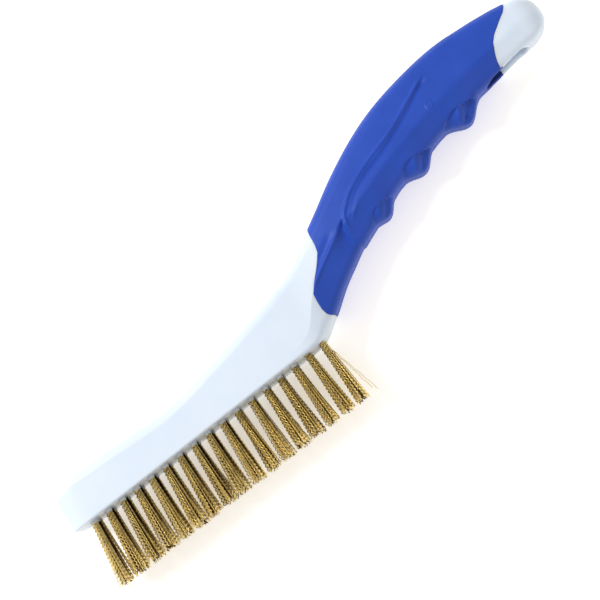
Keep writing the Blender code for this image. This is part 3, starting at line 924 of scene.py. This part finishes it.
def tube(path, radius, sides):
    """A tube along a path, as points and faces, with closed ends."""
    tangent = np.gradient(path, axis=0)
    tangent /= np.linalg.norm(tangent, axis=1, keepdims=True)
    side = np.cross(tangent, [0.0, 0.0, 1.0])
    side /= np.linalg.norm(side, axis=1, keepdims=True)
    other = np.cross(tangent, side)
    angles = np.linspace(0, 2 * np.pi, sides, endpoint=False)
    offset = side[:, None] * np.cos(angles)[:, None] + other[:, None] * np.sin(angles)[:, None]
    points = path[:, None] + radius * offset
    count = len(path)
    a = np.arange(count - 1)[:, None] * sides + np.arange(sides)
    b = np.arange(count - 1)[:, None] * sides + (np.arange(sides) + 1) % sides
    quads = np.stack([a, b, b + sides, a + sides], axis=-1).reshape(-1, 4).tolist()
    caps = [list(range(sides))[::-1], list(range((count - 1) * sides, count * sides))]
    return points.reshape(-1, 3), quads + caps


def anchor_shape(x, z):
    """The flat staple across the bottom of the hole."""
    low, high = HOLE_DEPTH - GAP - ANCHOR_HEIGHT, HOLE_DEPTH - GAP
    half, thin = ANCHOR_LENGTH / 2, ANCHOR_THICKNESS / 2
    outline = [(-half, -thin), (half, -thin), (half, thin), (-half, thin)]
    points = [(x + dx, y, z + dz) for y in (low, high) for dx, dz in outline]
    faces = [[0, 1, 2, 3], [7, 6, 5, 4], [1, 0, 4, 5], [2, 1, 5, 6], [3, 2, 6, 7], [0, 3, 7, 4]]
    return np.array(points), faces


def make_tuft(rng, row, column, x, z, lean, splay, material):
    """One tuft: its anchor and its wires, crimped file by file so that they make a herringbone."""
    common = rng.uniform(0, 2 * np.pi)
    step = math.radians(CHEVRON_DEG) * (1 if rng.random() < 0.5 else -1)
    folded = rng.random() < FOLDED_SHARE
    lean += math.radians(rng.normal(0, LEAN_JITTER_DEG))
    splay += math.radians(rng.normal(0, SPLAY_JITTER_DEG))
    tuft = (x, z, lean, splay)
    # Painted shade: the middle row's wires darken towards their holes, where the front row shades them.
    inside = MIDDLE_ROW_PAINTED_SHADE if row == MIDDLE_ROW else 0.0
    tubes, tones = [], []
    for across, up, file, tone_and_shade in wire_spots(rng):
        shift = step * (abs(file - FOLDED_FILE) if folded else file)
        phase = common + shift + rng.normal(0, CRIMP_JITTER)
        bend = (CRIMP_LEAN if file < LEAN_FILES else CRIMP_LEAN_INSIDE) + rng.normal(0, CRIMP_JITTER)
        path = wire_path(rng, tuft, (across, up), phase, bend)
        tubes.append(tube(path, WIRE_RADIUS, WIRE_SIDES))
        tones.append(tone_and_shade + rng.uniform(TONE_DARKER, TONE_LIGHTER))
    for at_row, at_column, out, aside, longer in STRAYS:
        if (at_row, at_column) == (row, column):
            path = stray_path(tuft, out, aside, longer)
            tubes.append(tube(path, WIRE_RADIUS * STRAY_THINNER, WIRE_SIDES))
            tones.append(STRAY_TONE)
    tubes.append(anchor_shape(x, z))
    tones.append(ANCHOR_TONE)
    points, faces, shades, total = [], [], [], 0
    for (shape, around), tone_and_shade in zip(tubes, tones):
        points.append(shape)
        faces += [[i + total for i in face] for face in around]
        out_of_hole = np.clip(-shape[:, 1] / FREE_LENGTH, 0, 1)
        shades.append(tone_and_shade * (1 - inside * (1 - out_of_hole**2)))
        total += len(shape)
    name = f"wires_r{row + 1}_{column + 1:02d}"
    return wire_object(name, np.vstack(points), faces, np.concatenate(shades), material)


def wire_object(name, points, faces, tones, material):
    """A tuft's mesh, with each point's tone and painted shade kept for its material."""
    mesh = bpy.data.meshes.new(name)
    mesh.from_pydata(place(points).tolist(), [], faces)
    tone_and_shade = mesh.attributes.new("tone_and_shade", "FLOAT", "POINT")
    tone_and_shade.data.foreach_set("value", tones.astype(np.float32))
    mesh.update()
    mesh.shade_smooth()
    mesh.set_sharp_from_angle(angle=math.radians(WIRE_SHARP_DEG))
    mesh.materials.append(material)
    made = bpy.data.objects.new(name, mesh)
    bpy.context.scene.collection.objects.link(made)
    return made


# ---- materials --------------------------------------------------------------------------------


def new_material(name):
    material = bpy.data.materials.new(name)
    material.use_nodes = True
    tree = material.node_tree
    return material, tree, tree.nodes["Principled BSDF"]


def add(tree, kind, **values):
    node = tree.nodes.new(kind)
    for key, value in values.items():
        setattr(node, key, value)
    return node


def noise(tree, scale, detail=3.0, roughness=0.5):
    """Noise in the object's own metres: scale is in features per metre."""
    where = add(tree, "ShaderNodeTexCoord")
    made = add(tree, "ShaderNodeTexNoise")
    made.inputs["Scale"].default_value = scale
    made.inputs["Detail"].default_value = detail
    made.inputs["Roughness"].default_value = roughness
    tree.links.new(where.outputs["Object"], made.inputs["Vector"])
    return made.outputs["Fac"]


def ramp(tree, value, low, high, from_low=0.35, from_high=0.65):
    """A value or colour that follows a noise between two ends."""
    made = add(tree, "ShaderNodeValToRGB")
    made.color_ramp.elements[0].position = from_low
    made.color_ramp.elements[1].position = from_high
    made.color_ramp.elements[0].color = (*low, 1) if isinstance(low, tuple) else (low, low, low, 1)
    made.color_ramp.elements[1].color = (*high, 1) if isinstance(high, tuple) else (high, high, high, 1)
    tree.links.new(value, made.inputs["Fac"])
    return made.outputs["Color"]


def bump(tree, shader, heights, distance):
    """Adds several heights into one bump. heights is a list of (socket, strength)."""
    total = None
    for socket, strength in heights:
        scaled = add(tree, "ShaderNodeMath", operation="MULTIPLY")
        tree.links.new(socket, scaled.inputs[0])
        scaled.inputs[1].default_value = strength
        if total is None:
            total = scaled.outputs[0]
        else:
            both = add(tree, "ShaderNodeMath", operation="ADD")
            tree.links.new(total, both.inputs[0])
            tree.links.new(scaled.outputs[0], both.inputs[1])
            total = both.outputs[0]
    made = add(tree, "ShaderNodeBump")
    made.inputs["Strength"].default_value = 1.0
    made.inputs["Distance"].default_value = distance
    tree.links.new(total, made.inputs["Height"])
    tree.links.new(made.outputs["Normal"], shader.inputs["Normal"])


def white_plastic():
    material, tree, shader = new_material("white_plastic")
    colour = ramp(tree, noise(tree, 45.0), (0.668, 0.74, 0.837), (0.694, 0.765, 0.857))
    tree.links.new(colour, shader.inputs["Base Color"])
    tree.links.new(ramp(tree, noise(tree, 900.0, 4.0), 0.30, 0.40), shader.inputs["Roughness"])
    shader.inputs["Subsurface Weight"].default_value = 0.45
    shader.inputs["Subsurface Radius"].default_value = (0.6, 0.8, 1.0)
    shader.inputs["Subsurface Scale"].default_value = 0.004
    shader.inputs["IOR"].default_value = 1.49
    bump(tree, shader, [(noise(tree, 4200.0, 2.0), 0.6), (noise(tree, 160.0, 2.0), 2.0)], 0.000012)
    return material


def blue_rubber(name, low, high):
    material, tree, shader = new_material(name)
    colour = ramp(tree, noise(tree, 70.0), low, high)
    tree.links.new(colour, shader.inputs["Base Color"])
    tree.links.new(ramp(tree, noise(tree, 1500.0, 4.0), 0.42, 0.56), shader.inputs["Roughness"])
    shader.inputs["IOR"].default_value = 1.47
    shader.inputs["Specular IOR Level"].default_value = 0.3
    shader.inputs["Sheen Weight"].default_value = 0.03
    shader.inputs["Sheen Roughness"].default_value = 0.45
    shader.inputs["Sheen Tint"].default_value = (0.55, 0.62, 1.0, 1.0)
    bump(tree, shader, [(noise(tree, 5200.0, 3.0), 1.0), (noise(tree, 300.0, 2.0), 1.5)], 0.00002)
    return material


def brass_wire():
    material, tree, shader = new_material("brass_wire")
    tone_and_shade = add(tree, "ShaderNodeAttribute", attribute_name="tone_and_shade")
    # The wires' attribute runs from dark brown to bright brass: their own tones, plus painted shade on
    # the inner wires and on the middle row near its holes.
    colour = ramp(tree, tone_and_shade.outputs["Fac"], (0.06, 0.028, 0.010), (1.0, 0.81, 0.37), 0.05, 0.74)
    stain = ramp(tree, noise(tree, 300.0, 5.0), 0.8, 1.0, 0.38, 0.5)
    mix = add(tree, "ShaderNodeMix", data_type="RGBA", blend_type="MULTIPLY")
    mix.inputs["Factor"].default_value = 1.0
    tree.links.new(colour, mix.inputs["A"])
    tree.links.new(stain, mix.inputs["B"])
    tree.links.new(mix.outputs["Result"], shader.inputs["Base Color"])
    tree.links.new(ramp(tree, noise(tree, 2600.0, 3.0), 0.26, 0.42), shader.inputs["Roughness"])
    shader.inputs["Metallic"].default_value = 1.0
    bump(tree, shader, [(noise(tree, 9000.0, 2.0), 1.0)], 0.00001)
    return material


def floor_material():
    """A pale floor lit a little from within, as a light table is."""
    material, tree, shader = new_material("floor")
    tree.links.new(ramp(tree, noise(tree, 8.0), 0.92, 0.95), shader.inputs["Base Color"])
    shader.inputs["Emission Color"].default_value = (1.0, 0.95, 0.87, 1.0)
    shader.inputs["Emission Strength"].default_value = FLOOR_GLOW
    shader.inputs["Roughness"].default_value = 0.9
    shader.inputs["Specular IOR Level"].default_value = 0.1
    return material


# ---- stage, lights and camera -----------------------------------------------------------------

TARGET = Vector((-0.00846, 0.00003, 0.011))
TILT_TO_TAIL_DEG, TILT_TO_BRISTLES_DEG = 3.0, 10.0
CAMERA_DISTANCE = 0.6
CAMERA_ROLL_DEG = 37.602
LENS_MM, SENSOR_MM = 90.7, 36.0
CLIP_NEAR, CLIP_FAR = 0.01, 20.0

FLOOR_SIZE, FLOOR_GLOW = 6.0, 0.47

# Lights: name, place, size, power and colour. Both aim at the frame's origin.
LIGHTS = [
    ("key", (-0.78, 0.72, 1.00), 0.55, 17.0, (1.0, 1.0, 1.0)),
    ("fill", (0.7, -0.8, 1.0), 1.2, 2.8, (1.0, 0.95, 0.87)),
]
WORLD_LIGHT = 0.54


def make_camera():
    """The photo's camera: above the brush, tilted and rolled, with a long lens."""
    across = math.tan(math.radians(TILT_TO_TAIL_DEG))
    down = -math.tan(math.radians(TILT_TO_BRISTLES_DEG))
    away = Vector((across, down, 1.0)).normalized()
    right = Vector((0.0, 1.0, 0.0)).cross(away).normalized()
    up = away.cross(right)
    roll = math.radians(CAMERA_ROLL_DEG)
    turned = right * math.cos(roll) - up * math.sin(roll)
    data = bpy.data.cameras.new("camera")
    data.lens = LENS_MM
    data.sensor_width = SENSOR_MM
    data.clip_start, data.clip_end = CLIP_NEAR, CLIP_FAR
    camera = bpy.data.objects.new("camera", data)
    bpy.context.scene.collection.objects.link(camera)
    rotation = np.array([turned, away.cross(turned), away]).T
    camera.rotation_euler = Matrix([list(map(float, row)) for row in rotation]).to_euler()
    camera.location = TARGET + away * CAMERA_DISTANCE
    bpy.context.scene.camera = camera


def make_floor():
    bpy.ops.mesh.primitive_plane_add(size=FLOOR_SIZE, location=(0.0, 0.0, cad_box[0][2]))
    floor = bpy.context.object
    floor.name = "floor"
    floor.data.materials.append(floor_material())


def area_light(name, place_at, size, power, colour):
    data = bpy.data.lights.new(name, "AREA")
    data.shape = "DISK"
    data.size = size
    data.energy = power
    data.color = colour
    lamp = bpy.data.objects.new(name, data)
    bpy.context.scene.collection.objects.link(lamp)
    lamp.location = place_at
    lamp.rotation_euler = (-Vector(place_at)).to_track_quat("-Z", "Y").to_euler()


def make_lights():
    for light in LIGHTS:
        area_light(*light)
    world = bpy.data.worlds.new("world")
    bpy.context.scene.world = world
    world.use_nodes = True
    background = world.node_tree.nodes["Background"]
    background.inputs["Color"].default_value = (1.0, 1.0, 1.0, 1.0)
    background.inputs["Strength"].default_value = WORLD_LIGHT
    bpy.context.scene.view_settings.view_transform = "Standard"


# ---- the brush --------------------------------------------------------------------------------


def finish_piece(piece, node):
    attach(piece, BODY)
    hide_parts(node)


def build():
    white, brass = white_plastic(), brass_wire()
    blue = blue_rubber("blue_rubber", (0.013, 0.060, 0.40), (0.017, 0.068, 0.44))
    # A darker copy of the blue rubber: painted shade for the slot's walls.
    painted_shade_blue = blue_rubber("blue_rubber_painted_shade", (0.003, 0.014, 0.12), (0.004, 0.018, 0.15))
    core = loft("handle_moulding", core_rings(), white)
    grip = loft("soft_grip", grip_rings(), blue, closed=True)
    cut_slot(core, grip)
    paint_slot_shade(grip, painted_shade_blue)
    cut_holes(core)
    for piece in (core, grip):
        piece.data.shade_smooth()
        piece.data.set_sharp_from_angle(angle=math.radians(SHARP_DEG))
    finish_piece(core, "handle_core")
    finish_piece(grip, "grip")
    rng = np.random.default_rng(SEED)
    for row, column, x, z, lean, splay in tuft_places():
        wires = make_tuft(rng, row, column, x, z, lean, splay, brass)
        finish_piece(wires, f"tuft_r{row + 1}_{column + 1:02d}")


build()
make_floor()
make_lights()
make_camera()
